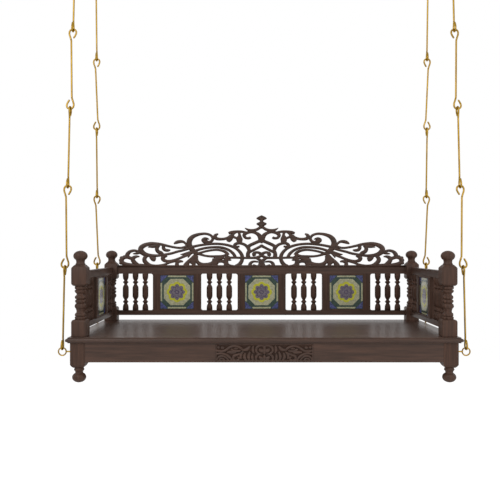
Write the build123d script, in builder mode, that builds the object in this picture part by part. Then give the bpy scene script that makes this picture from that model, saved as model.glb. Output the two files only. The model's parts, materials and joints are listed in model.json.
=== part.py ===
from build123d import *
import math
import os

# Jhoola swing: a carved wooden bench on four hangers of hooked rod links, hung from
# four ceiling eyes. Millimetres. X runs along the seat, Y from front to back, Z up.
# The origin is the centre of the four ceiling studs, on the ceiling plane, so every
# height written below is above the ball feet and is lowered by `drop` when placed.

# ---------------------------------------------------------------- driving dimensions
# Seat board and its moulded edge
seat_length = 1500.0
seat_depth = 695.0
seat_top = 175.0
seat_thickness = 21.5
edge_fillet_height = 4.0
edge_fillet_setback = 8.0

# Lower legs
leg_size = 57.0
leg_centre_x = 706.5
leg_centre_y = 304.0
leg_block_bottom = 70.0
leg_shoulder_bottom = 58.0
leg_neck_radius = 17.5
foot_radius = 26.5
foot_height = 40.0

# Upper posts
post_size = 58.0
post_centre_x = 702.5
post_centre_y = 300.0
post_block_top = 240.0
waist_top = 371.0
post_shoulder = 432.0
post_top = 450.0
finial_neck_radius = 17.0
finial_radius = 27.0
finial_bottom = 464.0
finial_top = 502.5

# Aprons and battens
apron_bottom = 80.0
apron_thickness = 18.0
apron_recess = 1.5
batten_width = 40.0
batten_height = 25.0
batten_pitch = 350.0
carving_width = 367.0
carving_height = 64.0
carving_relief = 3.0

# Back and side panels
rail_thickness = 22.0
bottom_rail_low = 201.0
bottom_rail_high = 223.0
top_rail_low = 394.0
top_rail_high = 424.0
tile_frame_width = 225.0
tile_width = 156.0
tile_height = 158.0
tile_thickness = 8.0
tile_recess = 3.0
tile_pitch = 395.7
baluster_pitch = 46.0
baluster_radius = 12.75
baluster_neck = 7.5
baluster_bead = 12.0
baluster_sides = 6

# Crest board
crest_thickness = 18.0
crest_half_length = 672.0
crest_base_height = 10.0

# Eye bolts in the legs and eyes in the ceiling
eye_x = 771.0
eye_height = 117.3
eye_radius = 14.75
eye_wire = 5.0
eye_shank = 6.0
shank_end = 12.0
nut_flats = 10.0
nut_thickness = 5.0
ceiling_eye_x = 750.0
ceiling_eye_y = 190.0
ceiling_eye_radius = 16.0
ceiling_wire = 8.0
ceiling_shank = 14.0
rose_radius = 35.0
rose_thickness = 6.0
rose_gap = 12.0
stud_radius = 5.0
stud_length = 40.0

# Rod links
link_wire = 7.0
link_inside = 312.0
hook_radius = 12.5
links_per_hanger = 5
wire_sides = 6
ring_corners = 12
play = 0.3
ceiling_play = 0.8
back_eye_lift = 1.2

# ---------------------------------------------------------------- derived places
wire_radius = link_wire / 2
eye_pivot_height = eye_height + eye_radius
hanger_length = (
    links_per_hanger * (link_inside - play)
    - eye_wire / 2
    - ceiling_wire / 2
    - ceiling_play
)
hanger_rise = math.sqrt(
    hanger_length**2
    - (eye_x - ceiling_eye_x) ** 2
    - (leg_centre_y - ceiling_eye_y) ** 2
)
ceiling_pivot_height = eye_pivot_height + hanger_rise
drop = (
    ceiling_pivot_height
    + 2 * ceiling_eye_radius
    + ceiling_wire / 2
    + rose_gap
    + rose_thickness
)
corners = {
    "front_left": (-1, -1),
    "front_right": (1, -1),
    "back_left": (-1, 1),
    "back_right": (1, 1),
}
# The back eyes sit a little higher, so they stay clear in their hooks as the seat tips.
eye_heights = {-1: eye_height, 1: eye_height + back_eye_lift}
sides = {"left": -1, "right": 1}
seat_bottom = seat_top - seat_thickness
opening_height = top_rail_low - bottom_rail_high

os.makedirs("parts", exist_ok=True)


def level(height, x=0.0, y=0.0):
    """Horizontal plane at a height above the feet."""
    return Plane((x, y, height - drop))


def upright(x=0.0, y=0.0, height=0.0):
    """Vertical plane facing the front: its X is the swing's X, its Y is up."""
    return Plane((x, y, height - drop), x_dir=(1, 0, 0), z_dir=(0, -1, 0))


def turned(outline, x, y, sides=8):
    """A turning with flat facets: the same outline cut from several directions.

    The outline is a list of (height, radius) from the bottom up.
    """
    edge = [(radius, height) for height, radius in outline]
    other_edge = [(-radius, height) for height, radius in reversed(outline)]
    widest = 2 * max(radius for height, radius in outline)
    with BuildPart() as turning:
        for number in range(sides // 2):
            angle = math.tau * number / sides
            view = Plane(
                (x, y, -drop),
                x_dir=(math.cos(angle), math.sin(angle), 0),
                z_dir=(math.sin(angle), -math.cos(angle), 0),
            )
            with BuildSketch(view):
                with BuildLine():
                    Polyline(*edge, *other_edge, close=True)
                make_face()
            mode = Mode.INTERSECT if number else Mode.ADD
            extrude(amount=widest, both=True, mode=mode)
    return turning.part


def wire_ring(plane, radius, wire):
    """A ring of faceted wire lying in the plane, with a flat at its top and bottom."""
    half_step = math.pi / ring_corners
    reach = radius / math.cos(half_step)
    turns = [half_step * (2 * number + 1) for number in range(ring_corners)]
    with BuildPart() as ring:
        with BuildLine(plane):
            path = Polyline(
                *[(reach * math.cos(t), reach * math.sin(t)) for t in turns],
                close=True,
            )
        with BuildSketch(Plane(path @ 0, x_dir=plane.z_dir, z_dir=path % 0)):
            RegularPolygon(wire / 2, wire_sides, major_radius=False)
        sweep(transition=Transition.RIGHT)
    return ring.part


def ball(low, high, radius):
    """Outline of a slightly flattened ball, from its neck up to its crown."""
    middle = (low + high) / 2
    outline = []
    for angle in (-50, -25, 0, 25, 50, 75):
        turn = math.radians(angle)
        height = middle + (high - low) / 2 * math.sin(turn)
        outline.append((height, radius * math.cos(turn)))
    return outline


def stroke(points):
    """One carved strip through (along, up, width) points, square to its own line."""
    left = []
    right = []
    before = points[:1] + points[:-1]
    after = points[1:] + points[-1:]
    for (u, v, width), first, last in zip(points, before, after):
        run = math.hypot(last[0] - first[0], last[1] - first[1])
        across_u = (first[1] - last[1]) / run * width / 2
        across_v = (last[0] - first[0]) / run * width / 2
        left.append((u + across_u, v + across_v))
        right.append((u - across_u, v - across_v))
    with BuildSketch() as shape:
        with BuildLine():
            Polyline(*left, *reversed(right), close=True)
        make_face()
    return shape.sketch


# ---------------------------------------------------------------- seat
with BuildPart() as seat_board:
    with BuildSketch(level(seat_bottom + edge_fillet_height)):
        Rectangle(seat_length, seat_depth)
    extrude(amount=seat_thickness - 2 * edge_fillet_height)
    half_round = (seat_thickness - 2 * edge_fillet_height) / 2 - 0.25
    rims = seat_board.edges().filter_by(Axis.Z, reverse=True)
    fillet(rims, radius=half_round)
    for height in (seat_bottom, seat_top - edge_fillet_height):
        with BuildSketch(level(height)):
            Rectangle(
                seat_length - 2 * edge_fillet_setback,
                seat_depth - 2 * edge_fillet_setback,
            )
        extrude(amount=edge_fillet_height)
seat_board.part.label = "seat_board"
export_step(seat_board.part, "parts/seat_board.step")

apron_inside_y = leg_centre_y + leg_size / 2 - apron_recess - apron_thickness
with BuildPart() as seat_battens:
    with BuildSketch(level(seat_bottom - batten_height)):
        with GridLocations(batten_pitch, 0, 3, 1):
            Rectangle(batten_width, 2 * apron_inside_y)
    extrude(amount=batten_height)
seat_battens.part.label = "seat_battens"
export_step(seat_battens.part, "parts/seat_battens.step")

# ---------------------------------------------------------------- legs and posts
# The foot is the finial's ball upside down, with its crown on the floor.
foot_ball = [
    (foot_height - height, radius)
    for height, radius in reversed(ball(0, foot_height, foot_radius))
]
leg_block_outline = [
    (leg_shoulder_bottom, leg_size / 2 - 10),
    (leg_block_bottom, leg_size / 2),
    (seat_bottom, leg_size / 2),
]
foot_outline = [(0, foot_ball[0][1])] + foot_ball[1:] + [
    (foot_height + 6, leg_neck_radius),
    (leg_shoulder_bottom + 1, leg_neck_radius + 2),
]
lower_block_outline = [
    (seat_top, post_size / 2),
    (post_block_top - 7, post_size / 2),
    (post_block_top, post_size / 2 - 5),
]
upper_block_outline = [
    (waist_top, post_size / 2 - 5),
    (waist_top + 7, post_size / 2),
    (post_shoulder, post_size / 2),
    (post_shoulder + 11, post_size / 2 - 3),
    (post_top, post_size / 2 - 9),
]
waist_outline = [
    (post_block_top - 1, 22.5),
    (262, 22.5),
    (268, 16.3),
    (278, 16.3),
    (288, 23),
    (295, 23),
    (300, 20.5),
    (331, 20.5),
    (336, 16),
    (341, 16),
    (350, 22.5),
    (waist_top + 1, 22.5),
]
finial_outline = [
    (post_top - 1, finial_neck_radius + 1),
    (finial_bottom - 6, finial_neck_radius - 1),
] + ball(finial_bottom, finial_top, finial_radius)

for corner, (along, back) in corners.items():
    x = along * leg_centre_x
    y = back * leg_centre_y
    with BuildPart() as leg:
        add(turned(leg_block_outline, x, y, sides=4))
        add(turned(foot_outline, x, y))
        hole_centre = (x, y, eye_heights[back] - drop)
        with BuildSketch(Plane(hole_centre, x_dir=(0, 1, 0), z_dir=(1, 0, 0))):
            RegularPolygon(eye_shank / 2 + 0.25, wire_sides, major_radius=False)
        extrude(amount=leg_size, both=True, mode=Mode.SUBTRACT)
    leg.part.label = "leg_" + corner
    export_step(leg.part, "parts/leg_" + corner + ".step")

for corner, (along, back) in corners.items():
    x = along * post_centre_x
    y = back * post_centre_y
    with BuildPart() as post:
        for block in (lower_block_outline, upper_block_outline):
            add(turned(block, x, y, sides=4))
        # ringed waist between the two square blocks, then the neck and ball finial
        add(turned(waist_outline, x, y))
        add(turned(finial_outline, x, y))
    post.part.label = "post_" + corner
    export_step(post.part, "parts/post_" + corner + ".step")

# ---------------------------------------------------------------- aprons
apron_length_x = 2 * leg_centre_x - leg_size
apron_length_y = 2 * leg_centre_y - leg_size
apron_height = seat_bottom - apron_bottom
apron_face_x = leg_centre_x + leg_size / 2 - apron_recess
apron_face_y = leg_centre_y + leg_size / 2 - apron_recess

for name, back in {"front": -1, "back": 1}.items():
    middle_y = back * (apron_face_y - apron_thickness / 2)
    with BuildPart() as apron:
        with BuildSketch(level(apron_bottom, 0, middle_y)):
            Rectangle(apron_length_x, apron_thickness)
        extrude(amount=apron_height)
    apron.part.label = "apron_" + name
    export_step(apron.part, "parts/apron_" + name + ".step")

for name, along in sides.items():
    middle_x = along * (apron_face_x - apron_thickness / 2)
    with BuildPart() as apron:
        with BuildSketch(level(apron_bottom, middle_x, 0)):
            Rectangle(apron_thickness, apron_length_y)
        extrude(amount=apron_height)
    apron.part.label = "apron_" + name
    export_step(apron.part, "parts/apron_" + name + ".step")

# Low relief of a flower between scrolls, in a raised border, on the front apron: the
# strokes of its right half are lists of (along, up, width).
carving_strokes = [
    [(14, 0, 7), (32, 16, 8), (50, 20, 9), (72, 12, 9), (92, 0, 7)],
    [(60, -27, 8), (76, -16, 8), (92, 0, 9), (110, 14, 8), (130, 20, 7)],
    [(92, 0, 7), (112, -14, 8), (130, -20, 9), (160, -27, 9)],
    [(130, 20, 7), (152, 10, 8), (178, 0, 8)],
]
with BuildPart() as apron_carving:
    with BuildSketch(upright(0, -apron_face_y, apron_bottom + apron_height / 2)):
        Rectangle(carving_width, carving_height)
        Rectangle(carving_width - 8, carving_height - 8, mode=Mode.SUBTRACT)
        for points in carving_strokes:
            add(stroke(points))
            add(stroke([(-u, v, width) for u, v, width in points]))
        with PolarLocations(13, 8):
            RegularPolygon(7, 6)
        RegularPolygon(12, 8)
    extrude(amount=carving_relief)
apron_carving.part.label = "apron_carving"
export_step(apron_carving.part, "parts/apron_carving.step")

# ---------------------------------------------------------------- back and side rails
post_gap_x = 2 * post_centre_x - post_size
post_gap_y = 2 * post_centre_y - post_size
rails = {
    "bottom": (bottom_rail_low, bottom_rail_high),
    "top": (top_rail_low, top_rail_high),
}

for name, (low, high) in rails.items():
    with BuildPart() as rail:
        with BuildSketch(level(low, 0, post_centre_y)):
            Rectangle(post_gap_x, rail_thickness)
        extrude(amount=high - low)
    rail.part.label = "back_" + name + "_rail"
    export_step(rail.part, "parts/back_" + name + "_rail.step")
    for side, along in sides.items():
        with BuildPart() as rail:
            with BuildSketch(level(low, along * post_centre_x, 0)):
                Rectangle(rail_thickness, post_gap_y)
            extrude(amount=high - low)
        rail.part.label = "side_" + name + "_rail_" + side
        export_step(rail.part, "parts/side_" + name + "_rail_" + side + ".step")

# ---------------------------------------------------------------- tiles in their frames
panel_middle = (bottom_rail_high + top_rail_low) / 2
pocket_depth = tile_thickness + tile_recess
tile_offset = rail_thickness / 2 - tile_recess - tile_thickness

back_face = upright(0, post_centre_y - rail_thickness / 2, panel_middle)
with BuildPart() as back_tile_frames:
    with BuildSketch(back_face):
        with GridLocations(tile_pitch, 0, 3, 1):
            Rectangle(tile_frame_width, opening_height)
    extrude(amount=-rail_thickness)
    with BuildSketch(back_face):
        with GridLocations(tile_pitch, 0, 3, 1):
            Rectangle(tile_width, tile_height)
    extrude(amount=-pocket_depth, mode=Mode.SUBTRACT)
back_tile_frames.part.label = "back_tile_frames"
export_step(back_tile_frames.part, "parts/back_tile_frames.step")

for name, place in {"left": -1, "centre": 0, "right": 1}.items():
    with BuildPart() as tile:
        with BuildSketch(
            upright(place * tile_pitch, post_centre_y - tile_offset, panel_middle)
        ):
            Rectangle(tile_width, tile_height)
        extrude(amount=tile_thickness)
    tile.part.label = "back_tile_" + name
    export_step(tile.part, "parts/back_tile_" + name + ".step")

for name, along in sides.items():
    inner_face = Plane(
        (along * (post_centre_x - rail_thickness / 2), 0, panel_middle - drop),
        x_dir=(0, along, 0),
        z_dir=(-along, 0, 0),
    )
    with BuildPart() as frame:
        with BuildSketch(inner_face):
            Rectangle(tile_frame_width, opening_height)
        extrude(amount=-rail_thickness)
        with BuildSketch(inner_face):
            Rectangle(tile_width, tile_height)
        extrude(amount=-pocket_depth, mode=Mode.SUBTRACT)
    frame.part.label = "side_tile_frame_" + name
    export_step(frame.part, "parts/side_tile_frame_" + name + ".step")
    with BuildPart() as tile:
        with BuildSketch(inner_face.offset(-pocket_depth)):
            Rectangle(tile_width, tile_height)
        extrude(amount=tile_thickness)
    tile.part.label = "side_tile_" + name
    export_step(tile.part, "parts/side_tile_" + name + ".step")


# ---------------------------------------------------------------- turned balusters
# Height above the bottom rail and radius, up to the middle; the top half mirrors it.
baluster_half = [
    (0, baluster_radius),
    (27, baluster_radius),
    (34, baluster_neck),
    (42, baluster_bead),
    (52, baluster_neck),
    (69, baluster_radius),
]
baluster_outline = [
    (bottom_rail_high + height, radius) for height, radius in baluster_half
] + [
    (top_rail_low - height, radius) for height, radius in reversed(baluster_half)
]
frame_edge = tile_frame_width / 2
inner_bay = tile_pitch / 2
outer_bay = (tile_pitch + frame_edge + post_gap_x / 2) / 2
side_bay = (frame_edge + post_gap_y / 2) / 2
three = (-baluster_pitch, 0, baluster_pitch)

for name, along in sides.items():
    back_places = [
        (along * (bay + step), post_centre_y)
        for bay in (inner_bay, outer_bay)
        for step in three
    ]
    with BuildPart() as balusters:
        for x, y in back_places:
            add(turned(baluster_outline, x, y, baluster_sides))
    balusters.part.label = "back_balusters_" + name
    export_step(balusters.part, "parts/back_balusters_" + name + ".step")
    side_places = [
        (along * post_centre_x, bay + step)
        for bay in (-side_bay, side_bay)
        for step in three
    ]
    with BuildPart() as balusters:
        for x, y in side_places:
            add(turned(baluster_outline, x, y, baluster_sides))
    balusters.part.label = "side_balusters_" + name
    export_step(balusters.part, "parts/side_balusters_" + name + ".step")

# ---------------------------------------------------------------- crest fretwork
# Right half of the scrollwork, from the middle of the top rail: each stroke is a list
# of (along, up, width), and the left half mirrors it.
crest_strokes = [
    # curved arms under the finial
    [(1, 192, 14), (9, 185, 12), (20, 178, 12), (34, 174, 11), (50, 173, 11), (64, 176, 9),
     (77, 183, 3)],
    # heart: scroll rolled inwards at the top, lower limb and the band below it
    [(0, 127, 28), (5, 139, 23), (14, 152, 16), (28, 161, 12), (45, 165, 11), (62, 163, 12),
     (74, 158, 14), (81, 150, 14), (77, 141, 11), (68, 137, 9), (57, 137, 9), (50, 142, 8)],
    [(2, 126, 26), (14, 121, 13), (54, 103, 13), (61, 95, 14), (59, 87, 14), (58, 77, 14),
     (63, 66, 16), (65, 56, 18), (63, 47, 18)],
    [(0, 101, 12), (12, 94, 11), (45, 77, 11), (58, 71, 12)],
    # pair of small scrolls, the tie that runs out to the arcs and the foot scroll
    [(0, 54, 23), (5, 62, 14), (13, 65, 12), (25, 66, 10), (36, 63, 9), (41, 57, 8), (37, 51, 4)],
    [(0, 53, 17), (20, 46, 11), (40, 44, 10), (90, 44, 9), (120, 45, 9), (158, 45, 9)],
    [(22, 45, 11), (12, 38, 12), (3, 29, 15), (0, 20, 21), (0, 6, 32)],
    [(20, 20, 6), (28, 23, 9), (38, 24, 11), (48, 20, 13), (53, 12, 15), (53, 3, 15)],
    [(20, 3, 10), (32, 8, 10), (42, 13, 12)],
    # branch from the side of the heart up to the leaf
    [(60, 82, 13), (68, 96, 12), (80, 106, 12), (98, 110, 11), (114, 108, 13), (124, 101, 12),
     (119, 95, 10), (111, 93, 8), (102, 95, 6)],
    # leaf cluster and the spray that links it with the large scroll
    [(70, 161, 10), (88, 166, 10), (108, 167, 11), (130, 165, 10), (147, 161, 10), (157, 154, 5)],
    [(98, 162, 11), (102, 149, 15), (106, 135, 28), (108, 122, 23), (108, 112, 13)],
    [(112, 163, 13), (124, 149, 17), (137, 135, 21), (148, 125, 17), (154, 116, 9)],
    [(134, 145, 15), (152, 139, 11), (175, 134, 9), (197, 132, 10), (212, 135, 14),
     (218, 143, 16), (214, 151, 12), (204, 156, 5)],
    # large C scroll and the leaf on its shoulder
    [(243, 127, 4), (254, 134, 8), (270, 134, 11), (279, 126, 12), (272, 118, 11), (257, 115, 10),
     (241, 120, 11), (231, 130, 11), (231, 142, 10), (243, 151, 9), (262, 156, 10), (284, 156, 11),
     (305, 151, 14), (324, 142, 18), (336, 126, 22), (339, 109, 22), (332, 91, 22), (318, 78, 18),
     (305, 70, 15)],
    [(352, 88, 11), (352, 102, 9), (358, 113, 9), (370, 120, 11), (386, 119, 14), (400, 116, 13),
     (410, 110, 4)],
    # three nested arcs over the lens
    [(97, 6, 28), (90, 29, 18), (89, 49, 16), (100, 70, 14), (118, 87, 12), (143, 99, 11),
     (176, 106, 10), (214, 109, 10), (251, 107, 10), (289, 102, 10), (322, 95, 11), (340, 89, 13)],
    [(127, 50, 13), (136, 66, 13), (157, 82, 11), (187, 91, 10), (219, 93, 10), (257, 90, 10),
     (289, 83, 10), (312, 75, 12)],
    [(158, 58, 16), (168, 70, 13), (190, 78, 10), (216, 80, 10), (249, 76, 10), (276, 70, 10),
     (298, 64, 12)],
    [(160, 62, 11), (181, 54, 11), (214, 53, 11), (246, 54, 10), (273, 59, 10), (300, 67, 11)],
    # solid ground below the lens round its half-moon opening, with a small leaf
    [(159, 56, 16), (166, 42, 19), (169, 25, 19), (167, 8, 22)],
    [(172, 47, 14), (190, 43, 20), (206, 40, 26), (212, 26, 30), (224, 10, 30)],
    [(160, 40, 11), (150, 35, 9), (142, 33, 3)],
    [(304, 54, 13), (304, 34, 14), (294, 20, 16), (277, 13, 17), (262, 12, 18), (242, 14, 17),
     (226, 23, 14), (218, 40, 16)],
    [(168, 22, 10), (154, 10, 10), (136, 6, 8)],
    [(98, 30, 10), (106, 15, 10), (122, 7, 8)],
    # foot of the C scroll and the leaf under it
    [(308, 64, 15), (313, 48, 22), (319, 32, 34), (324, 12, 52)],
    [(316, 75, 15), (359, 62, 11), (380, 60, 3)],
    [(336, 62, 12), (341, 54, 10), (344, 44, 3)],
    # long teardrop with the leaves inside it
    [(340, 89, 13), (370, 79, 10), (395, 73, 10), (422, 65, 10), (449, 60, 10), (476, 56, 11),
     (498, 54, 12), (527, 56, 14), (548, 62, 17), (563, 73, 22), (568, 85, 24)],
    [(350, 98, 11), (370, 92, 9), (390, 91, 9), (417, 95, 9), (444, 101, 10), (476, 108, 12),
     (514, 111, 13), (540, 106, 15), (559, 97, 20), (568, 84, 24)],
    [(478, 104, 17), (506, 99, 16), (520, 97, 11), (531, 94, 3)],
    [(458, 104, 14), (460, 90, 13), (452, 81, 12), (438, 79, 10), (429, 81, 4)],
    [(486, 103, 16), (491, 85, 15), (484, 73, 15), (471, 67, 14), (464, 58, 15)],
    # lower loop with its drop, the short prop and its leaf
    [(322, 72, 14), (343, 60, 12), (368, 49, 11), (390, 40, 10), (411, 33, 10), (436, 29, 10),
     (454, 31, 14), (463, 40, 17), (458, 50, 17), (444, 56, 13)],
    [(393, 38, 11), (396, 22, 15), (397, 5, 17)],
    [(369, 26, 5), (380, 28, 11), (395, 24, 12)],
    [(402, 30, 10), (433, 22, 10), (457, 12, 10), (490, 6, 12), (519, 8, 14), (538, 18, 17),
     (549, 32, 18), (547, 44, 16), (538, 54, 14)],
    [(521, 54, 12), (519, 44, 13), (511, 37, 18), (500, 36, 20)],
    # end scrolls and the scalloped leaf against the post
    [(573, 50, 4), (587, 50, 10), (600, 44, 15), (603, 33, 17), (593, 19, 18), (580, 6, 21)],
    [(569, 70, 13), (584, 76, 10), (600, 78, 11), (617, 73, 13), (627, 63, 17), (630, 52, 17),
     (620, 45, 13), (608, 43, 12)],
    [(570, 70, 13), (586, 65, 10), (601, 63, 4)],
    [(608, 40, 13), (630, 46, 12), (647, 44, 16), (655, 36, 19), (655, 24, 18), (641, 14, 14),
     (620, 9, 12), (600, 5, 12)],
]
leaf_lobes = [(644, 50, 7), (657, 44, 8), (661, 33, 8), (660, 20, 8)]

finial_outline_right = [
    (0, 244), (19, 233), (23.5, 229), (19, 223), (7, 217), (7, 212), (19, 208),
    (23.5, 203), (19, 197), (9, 190), (9, 182), (0, 178),
]

with BuildPart() as crest_board:
    with BuildSketch(upright(0, post_centre_y, top_rail_high)):
        for points in crest_strokes:
            add(stroke(points))
        for x, z, radius in leaf_lobes:
            with Locations((x, z)):
                RegularPolygon(radius, 10)
        # finial: two pointed discs on a stem
        with BuildLine():
            Polyline(*finial_outline_right, close=True)
        make_face()
        mirror(about=Plane.YZ)
        # straight base strip, and a clean cut along the top of the rail
        with Locations((0, crest_base_height / 2)):
            Rectangle(2 * crest_half_length, crest_base_height)
        with Locations((0, -crest_base_height)):
            Rectangle(2 * crest_half_length, 2 * crest_base_height, mode=Mode.SUBTRACT)
    extrude(amount=crest_thickness / 2, both=True)
crest_board.part.label = "crest_board"
export_step(crest_board.part, "parts/crest_board.step")

# ---------------------------------------------------------------- eye bolts
leg_inner_x = leg_centre_x - leg_size / 2
shank_start = eye_x - eye_radius - eye_wire / 4
with BuildPart() as eye_bolts:
    for along, back in corners.values():
        y = back * leg_centre_y
        ring_plane = upright(along * eye_x, y, eye_heights[back])
        add(wire_ring(ring_plane, eye_radius, eye_wire))
        shank_plane = Plane(
            (along * shank_start, y, eye_heights[back] - drop),
            x_dir=(0, 1, 0),
            z_dir=(-along, 0, 0),
        )
        with BuildSketch(shank_plane):
            RegularPolygon(eye_shank / 2, wire_sides)
        extrude(amount=shank_start - leg_inner_x + shank_end)
eye_bolts.part.label = "eye_bolts"
export_step(eye_bolts.part, "parts/eye_bolts.step")

with BuildPart() as eye_bolt_nuts:
    for along, back in corners.values():
        nut_plane = Plane(
            (along * leg_inner_x, back * leg_centre_y, eye_heights[back] - drop),
            x_dir=(0, 1, 0),
            z_dir=(-along, 0, 0),
        )
        with BuildSketch(nut_plane):
            RegularPolygon(nut_flats / 2, 6, major_radius=False)
            RegularPolygon(eye_shank / 2, wire_sides, mode=Mode.SUBTRACT)
        extrude(amount=nut_thickness)
eye_bolt_nuts.part.label = "eye_bolt_nuts"
export_step(eye_bolt_nuts.part, "parts/eye_bolt_nuts.step")

# ---------------------------------------------------------------- ceiling eyes
ceiling_ring_height = ceiling_pivot_height + ceiling_eye_radius
with BuildPart() as ceiling_eyes:
    for along, back in corners.values():
        x = along * ceiling_eye_x
        y = back * ceiling_eye_y
        ring_plane = upright(x, y, ceiling_ring_height)
        add(wire_ring(ring_plane, ceiling_eye_radius, ceiling_wire))
        with BuildSketch(level(ceiling_ring_height + ceiling_eye_radius, x, y)):
            RegularPolygon(ceiling_shank / 2, 6)
        extrude(amount=drop - ceiling_ring_height - ceiling_eye_radius)
        with BuildSketch(level(drop, x, y)):
            Circle(stud_radius)
        extrude(amount=stud_length)
ceiling_eyes.part.label = "ceiling_eyes"
export_step(ceiling_eyes.part, "parts/ceiling_eyes.step")

with BuildPart() as ceiling_roses:
    with BuildSketch(level(drop - rose_thickness)):
        with GridLocations(2 * ceiling_eye_x, 2 * ceiling_eye_y, 2, 2):
            RegularPolygon(rose_radius, 12)
            RegularPolygon(ceiling_shank / 2, 6, mode=Mode.SUBTRACT)
    extrude(amount=rose_thickness)
ceiling_roses.part.label = "ceiling_roses"
export_step(ceiling_roses.part, "parts/ceiling_roses.step")

# ---------------------------------------------------------------- hangers
# One link is a rod with a hook bent at each end. Its path runs from the tip of the
# lower hook, round the hook, up the rod and round the upper hook, which opens the
# other way. The inside of the lower hook is at height 0, that of the upper hook at
# `link_inside`, and the bends are drawn as short straight facets.
facet = hook_radius * math.tan(math.radians(22.5))
hook_low = -wire_radius
half_hook = [
    (-hook_radius + 6, hook_low + hook_radius + 18),
    (-hook_radius, hook_low + hook_radius - facet),
    (-facet, hook_low),
    (facet, hook_low),
    (hook_radius, hook_low + hook_radius - facet),
    (0, hook_low + hook_radius + 34),
]
link_path = half_hook + [(-u, link_inside - w) for u, w in reversed(half_hook)]

for corner, (along, back) in corners.items():
    foot = Vector(along * eye_x, back * leg_centre_y, eye_pivot_height - drop)
    head = Vector(
        along * ceiling_eye_x, back * ceiling_eye_y, ceiling_pivot_height - drop
    )
    up = (head - foot).normalized()
    for number in range(1, links_per_hanger + 1):
        start = (number - 1) * (link_inside - play) - eye_wire / 2 - play
        # odd links lie fore and aft, even links lie along the seat
        across = Vector(0, 1, 0) if number % 2 else Vector(along, 0, 0)
        normal = across.cross(up).normalized()
        link_plane = Plane(foot + up * start, x_dir=up.cross(normal), z_dir=normal)
        with BuildPart() as link:
            with BuildLine(link_plane):
                path = Polyline(*link_path)
            with BuildSketch(Plane(path @ 0, x_dir=normal, z_dir=path % 0)):
                RegularPolygon(wire_radius, wire_sides, major_radius=False)
            sweep(transition=Transition.RIGHT)
        name = "link_" + corner + "_" + str(number)
        link.part.label = name
        export_step(link.part, "parts/" + name + ".step")
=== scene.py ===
"""Looks of the jhoola swing: a dark carved bench with glazed tiles, hung from brass rods."""

import json
import math

import bpy
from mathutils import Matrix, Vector


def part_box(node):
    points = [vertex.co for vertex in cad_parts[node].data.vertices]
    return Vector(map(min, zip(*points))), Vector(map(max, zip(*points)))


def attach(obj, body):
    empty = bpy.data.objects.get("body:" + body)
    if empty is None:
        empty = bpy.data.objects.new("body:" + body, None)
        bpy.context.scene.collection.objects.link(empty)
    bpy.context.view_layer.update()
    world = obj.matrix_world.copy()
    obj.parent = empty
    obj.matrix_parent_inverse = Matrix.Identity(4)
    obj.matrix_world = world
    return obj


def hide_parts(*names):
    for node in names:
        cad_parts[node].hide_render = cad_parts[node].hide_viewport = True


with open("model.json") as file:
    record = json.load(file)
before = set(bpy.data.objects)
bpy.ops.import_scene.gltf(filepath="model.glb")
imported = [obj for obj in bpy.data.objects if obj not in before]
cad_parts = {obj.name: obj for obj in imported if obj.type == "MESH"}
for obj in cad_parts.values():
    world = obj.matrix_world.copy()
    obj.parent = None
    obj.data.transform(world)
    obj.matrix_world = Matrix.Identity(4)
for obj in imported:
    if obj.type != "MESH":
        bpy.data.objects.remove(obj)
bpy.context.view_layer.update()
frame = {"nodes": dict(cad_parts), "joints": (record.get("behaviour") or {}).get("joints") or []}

nodes = frame["nodes"]

# ---------------------------------------------------------------- shared sizes and places
# Sizes in capitals are in millimetres; places that come from the frame are in metres.
MM = 0.001
SIDES = {"left": -1, "right": 1}
CORNERS = {
    "front_left": (-1, -1),
    "front_right": (1, -1),
    "back_left": (-1, 1),
    "back_right": (1, 1),
}
# Corners of a square about its middle, in order round it
SQUARE = [(-1, -1), (1, -1), (1, 1), (-1, 1)]
X_AXIS, Y_AXIS, Z_AXIS = Vector((1, 0, 0)), Vector((0, 1, 0)), Vector((0, 0, 1))

LINK_INSIDE = 312.0
LINKS_PER_HANGER = 5
LINK_WIRE_RADIUS = 3.5
LINK_SLACK = 0.3
EYE_WIRE_RADIUS = 2.5
EYE_RADIUS = 14.75
EYE_SHANK_RADIUS = 2.8
EYE_SHANK_END = 12.0
BACK_EYE_LIFT = 1.2
CEILING_WIRE_RADIUS = 4.0
CEILING_EYE_RADIUS = 16.0
STUD_RADIUS = 5.0
BALUSTER_PITCH = 46.0
SIDE_TILE_LIFT = 7.0
SIDE_FRAME_LIFT = 10.0

foot_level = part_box("leg_front_left")[0].z
rail_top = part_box("back_top_rail")[1].z


def middle_of(name):
    """Middle of a CAD node's box."""
    low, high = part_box(name)
    return (low + high) / 2


def inner_face(name, along):
    """Place along X of the face of a CAD node that is nearer to the middle of the swing."""
    low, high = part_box(name)
    return low.x if along > 0 else high.x


def outer_face(name, along):
    """Place along X of the face of a CAD node that looks away from the middle."""
    return inner_face(name, -along)


def hanger_head(corner):
    """Where a hanger turns in its ceiling eye."""
    return [Vector(j["pos_m"]) for j in frame["joints"] if j["child"] == "hanger_" + corner][0]


# ---------------------------------------------------------------- camera
def make_camera():
    """Level camera in front of the bench, a little left of its middle."""
    data = bpy.data.cameras.new("camera")
    data.lens = 50.0
    data.sensor_width = 36.0
    data.clip_end = 50.0
    camera = bpy.data.objects.new("camera", data)
    camera.location = (-0.0543, -2.956, foot_level + 0.505)
    camera.rotation_euler = (math.radians(90), 0, 0)
    bpy.context.scene.collection.objects.link(camera)
    bpy.context.scene.camera = camera


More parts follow.
